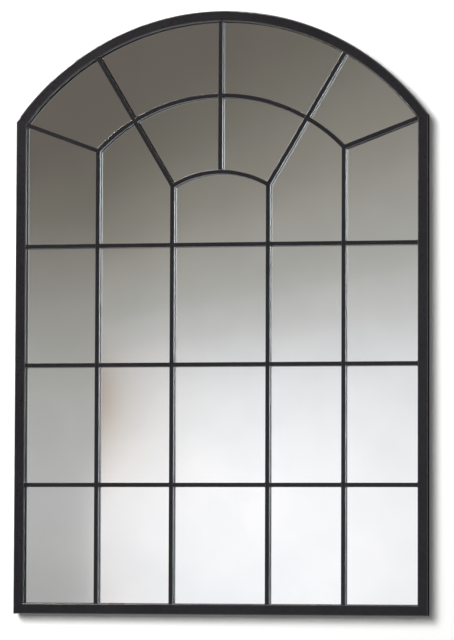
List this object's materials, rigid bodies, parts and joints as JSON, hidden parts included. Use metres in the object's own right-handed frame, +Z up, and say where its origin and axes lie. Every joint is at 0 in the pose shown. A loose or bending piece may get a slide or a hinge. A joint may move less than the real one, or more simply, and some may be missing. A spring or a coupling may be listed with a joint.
{
  "type": "wall mirror",
  "caption": "Tall wall mirror with a black steel frame, an arched head and a grille of fine bars like a fanlight window, hung on the wall by strap hangers.",
  "frame": {"origin": "on the face of the wall, midway between the two wall hooks that the hanger rings go over", "axes": "+X to the right as one looks into the mirror, +Y back to the wall, +Z up"},
  "size_m": [0.8, 0.026, 1.1518],
  "materials": {
    "black_powder_coat": "satin black powder coat on steel",
    "silvered_glass": "polished float glass, silvered on the back",
    "closed_cell_foam": "closed-cell foam sheet and tape",
    "backing_board": "medium density fibreboard",
    "zinc_plated_steel": "bright zinc plate",
    "black_rubber": "moulded rubber"
  },
  "bodies": {
    "frame": {"bottom_rail": "black_powder_coat", "left_stile": "black_powder_coat", "right_stile": "black_powder_coat", "arched_head": "black_powder_coat", "lower_crossbar": "black_powder_coat", "middle_crossbar": "black_powder_coat", "upper_crossbar": "black_powder_coat", "middle_arch": "black_powder_coat", "inner_arch": "black_powder_coat", "centre_spoke": "black_powder_coat", "outer_mullion_left": "black_powder_coat", "inner_mullion_left": "black_powder_coat", "oblique_spoke_left": "black_powder_coat", "shoulder_spoke_left": "black_powder_coat", "outer_mullion_right": "black_powder_coat", "inner_mullion_right": "black_powder_coat", "oblique_spoke_right": "black_powder_coat", "shoulder_spoke_right": "black_powder_coat", "bedding_tape": "closed_cell_foam", "mirror_glass": "silvered_glass", "foam_pad": "closed_cell_foam", "backing_board": "backing_board", "setting_blocks": "black_rubber", "turn_button_screws": "zinc_plated_steel", "hanger_screws": "zinc_plated_steel", "hanger_strap_left": "zinc_plated_steel", "hanger_strap_right": "zinc_plated_steel", "wall_bumper_left": "black_rubber", "wall_bumper_right": "black_rubber"},
    "turn_button_left_lower": {"turn_button_left_lower": "zinc_plated_steel"},
    "turn_button_left_upper": {"turn_button_left_upper": "zinc_plated_steel"},
    "turn_button_bottom_left": {"turn_button_bottom_left": "zinc_plated_steel"},
    "turn_button_head_left": {"turn_button_head_left": "zinc_plated_steel"},
    "turn_button_right_lower": {"turn_button_right_lower": "zinc_plated_steel"},
    "turn_button_right_upper": {"turn_button_right_upper": "zinc_plated_steel"},
    "turn_button_bottom_right": {"turn_button_bottom_right": "zinc_plated_steel"},
    "turn_button_head_right": {"turn_button_head_right": "zinc_plated_steel"},
    "hanger_ring_left": {"hanger_ring_left": "zinc_plated_steel"},
    "hanger_ring_right": {"hanger_ring_right": "zinc_plated_steel"}
  },
  "joints": [
    {"name": "turn_button_left_lower_turn", "type": "hinge", "parent": "frame", "child": "turn_button_left_lower", "pos_m": [-0.388, -0.006, -0.65473], "axis": [0, 1, 0], "range_deg": [-90, 90]},
    {"name": "turn_button_left_upper_turn", "type": "hinge", "parent": "frame", "child": "turn_button_left_upper", "pos_m": [-0.388, -0.006, -0.27633], "axis": [0, 1, 0], "range_deg": [-90, 90]},
    {"name": "turn_button_bottom_left_turn", "type": "hinge", "parent": "frame", "child": "turn_button_bottom_left", "pos_m": [-0.2, -0.006, -0.85085], "axis": [0, 1, 0], "range_deg": [-90, 90]},
    {"name": "turn_button_head_left_turn", "type": "hinge", "parent": "frame", "child": "turn_button_head_left", "pos_m": [-0.21943, -0.006, 0.22381], "axis": [0, 1, 0], "range_deg": [-90, 90]},
    {"name": "turn_button_right_lower_turn", "type": "hinge", "parent": "frame", "child": "turn_button_right_lower", "pos_m": [0.388, -0.006, -0.65473], "axis": [0, 1, 0], "range_deg": [-90, 90]},
    {"name": "turn_button_right_upper_turn", "type": "hinge", "parent": "frame", "child": "turn_button_right_upper", "pos_m": [0.388, -0.006, -0.27633], "axis": [0, 1, 0], "range_deg": [-90, 90]},
    {"name": "turn_button_bottom_right_turn", "type": "hinge", "parent": "frame", "child": "turn_button_bottom_right", "pos_m": [0.2, -0.006, -0.85085], "axis": [0, 1, 0], "range_deg": [-90, 90]},
    {"name": "turn_button_head_right_turn", "type": "hinge", "parent": "frame", "child": "turn_button_head_right", "pos_m": [0.21943, -0.006, 0.22381], "axis": [0, 1, 0], "range_deg": [-90, 90]},
    {"name": "hanger_ring_left_swing", "type": "hinge", "parent": "frame", "child": "hanger_ring_left", "pos_m": [-0.39, -0.0032, -0.01145], "axis": [1, 0, 0], "range_deg": [0, 180]},
    {"name": "hanger_ring_right_swing", "type": "hinge", "parent": "frame", "child": "hanger_ring_right", "pos_m": [0.39, -0.0032, -0.01145], "axis": [1, 0, 0], "range_deg": [0, 180]}
  ]
}
